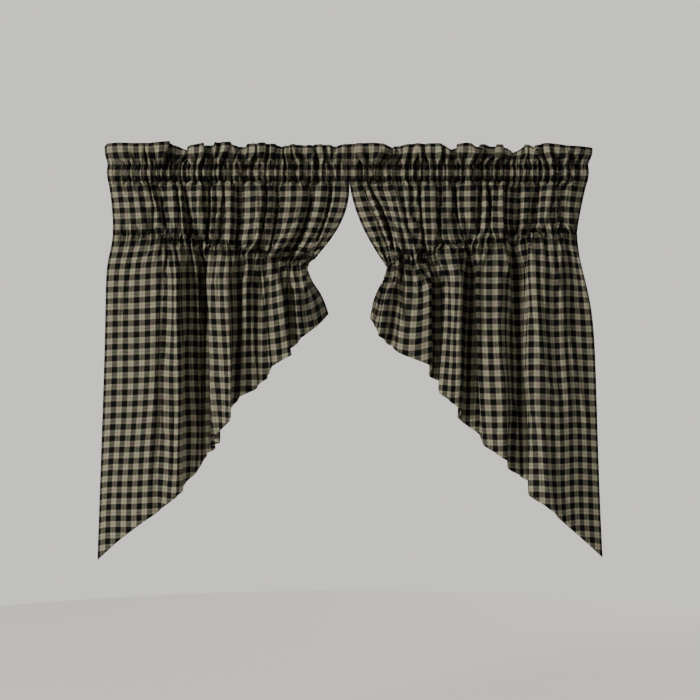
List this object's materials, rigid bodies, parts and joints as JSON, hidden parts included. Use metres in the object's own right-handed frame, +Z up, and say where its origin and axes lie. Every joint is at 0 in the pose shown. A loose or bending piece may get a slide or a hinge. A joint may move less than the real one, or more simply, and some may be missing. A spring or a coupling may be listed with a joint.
{
  "type": "curtain swag pair",
  "caption": "Pair of gathered swag curtain panels in a woven check, each with a ruffled heading, an empty rod pocket, a shirred row and a hem slanting down to an outer point.",
  "frame": {"origin": "on the axis of the rod pockets, midway between the two panels, 63 mm below the ruffle's top edge", "axes": "+X along the rod to the right as seen from the room, +Y towards the wall, +Z up"},
  "size_m": [1.1255, 0.0827, 0.9288],
  "materials": {
    "heading_cloth": "woven cotton, black and tan one-inch check, matt",
    "panel_cloth": "woven cotton, black and tan one-inch check, matt"
  },
  "bodies": {
    "root": {"left_heading": "heading_cloth", "right_heading": "heading_cloth", "left_panel": "panel_cloth", "right_panel": "panel_cloth"}
  },
  "joints": []
}
